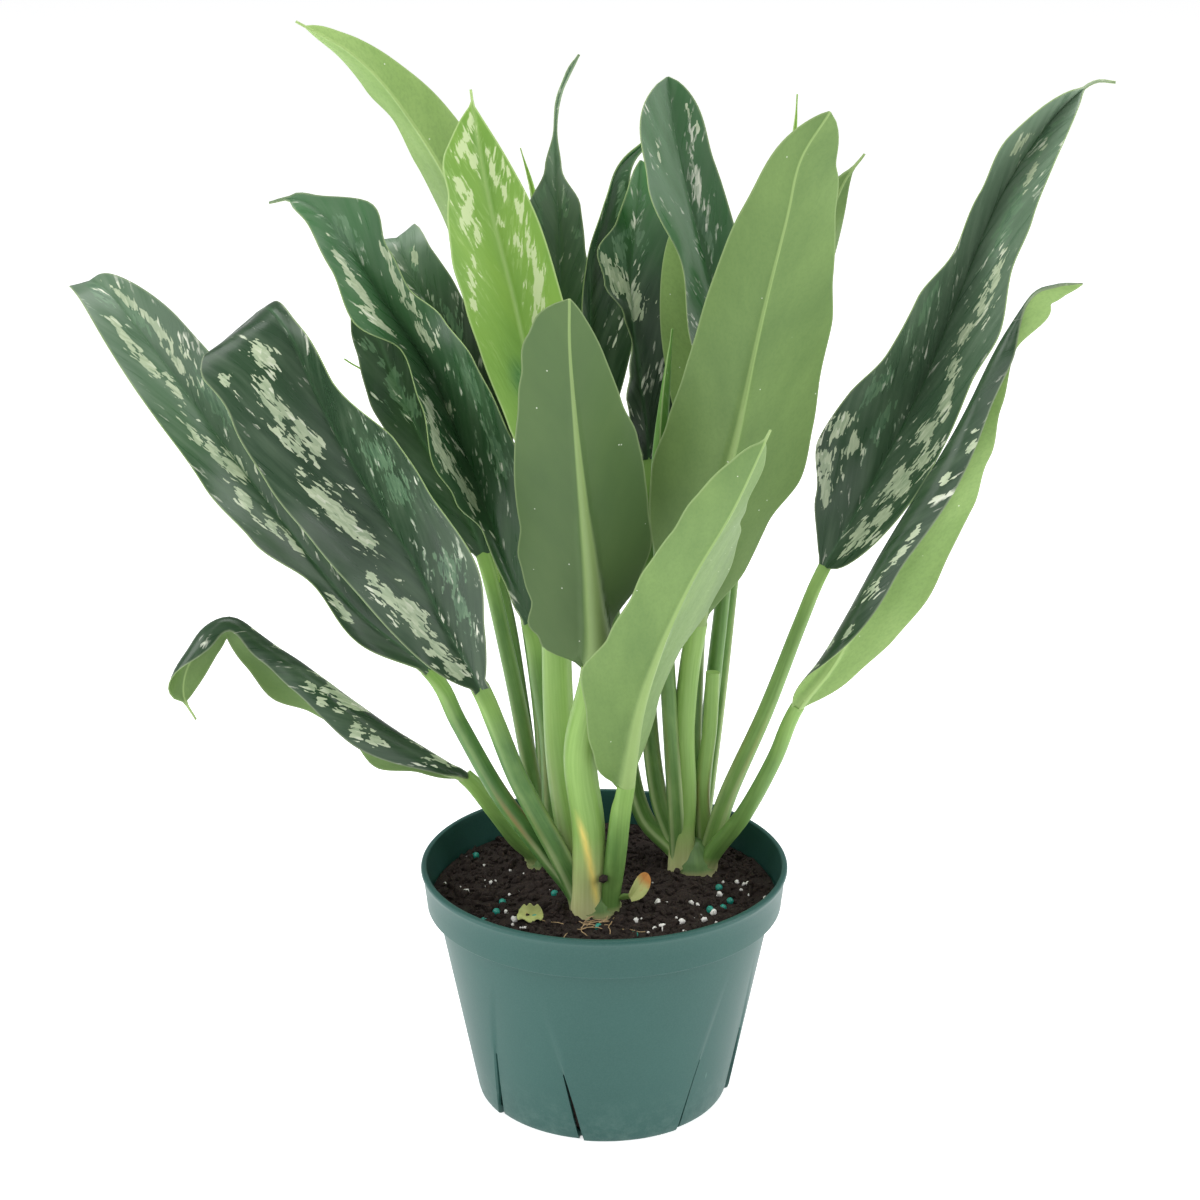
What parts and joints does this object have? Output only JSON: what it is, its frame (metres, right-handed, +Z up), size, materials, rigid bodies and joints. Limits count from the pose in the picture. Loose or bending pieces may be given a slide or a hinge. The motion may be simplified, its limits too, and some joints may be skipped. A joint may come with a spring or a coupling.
{
  "type": "potted chinese evergreen",
  "caption": "Leafy foliage plant with cream-streaked dark green and plain bright green leaves on sheathed stalks, standing in soil in a green plastic nursery pot.",
  "frame": {"origin": "middle of the pot's underside, on the surface that it stands on", "axes": "+Z up along the pot's axis, -Y towards the front of the plant, +X to its right as seen from the front"},
  "size_m": [0.4476, 0.2222, 0.4716],
  "materials": {
    "pot_plastic": "matte, moulded, faintly mottled",
    "soil": "loose potting mix with perlite and fertiliser prills",
    "leaf_variegated": "smooth leaf, dark green with cream streaks",
    "leaf_underside": "satin leaf underside, olive green",
    "leaf_young": "satin young leaf, bright yellow-green",
    "stalk": "satin fleshy leaf stalk",
    "dry_leaf": "dry, dull yellow-green"
  },
  "bodies": {
    "root": {"pot": "pot_plastic", "soil": "soil", "leaf_far_left": "leaf_variegated", "leaf_left": "leaf_variegated", "leaf_upper_left": "leaf_variegated", "leaf_upper_left_behind": "leaf_variegated", "leaf_behind_left": "leaf_variegated", "leaf_pale_top": "leaf_young", "leaf_bright": "leaf_young", "leaf_front": "leaf_underside", "leaf_front_right": "leaf_underside", "leaf_tall": "leaf_underside", "leaf_far_right": "leaf_variegated", "leaf_right": "leaf_variegated", "leaf_back": "leaf_variegated", "leaf_back_narrow": "leaf_variegated", "leaf_back_right": "leaf_variegated", "leaf_top": "leaf_variegated", "leaf_inner_right": "leaf_young", "leaf_behind_tall": "leaf_underside", "leaf_low_left": "leaf_variegated", "dry_bract": "dry_leaf", "rolled_leaf_middle": "leaf_young", "rolled_leaf_back_right": "leaf_young", "rolled_leaf_back": "leaf_young", "rolled_leaf_left": "leaf_young", "dry_leaf_scrap": "dry_leaf", "shoot_front": "stalk", "shoot_right": "stalk", "shoot_left": "stalk"}
  },
  "joints": []
}
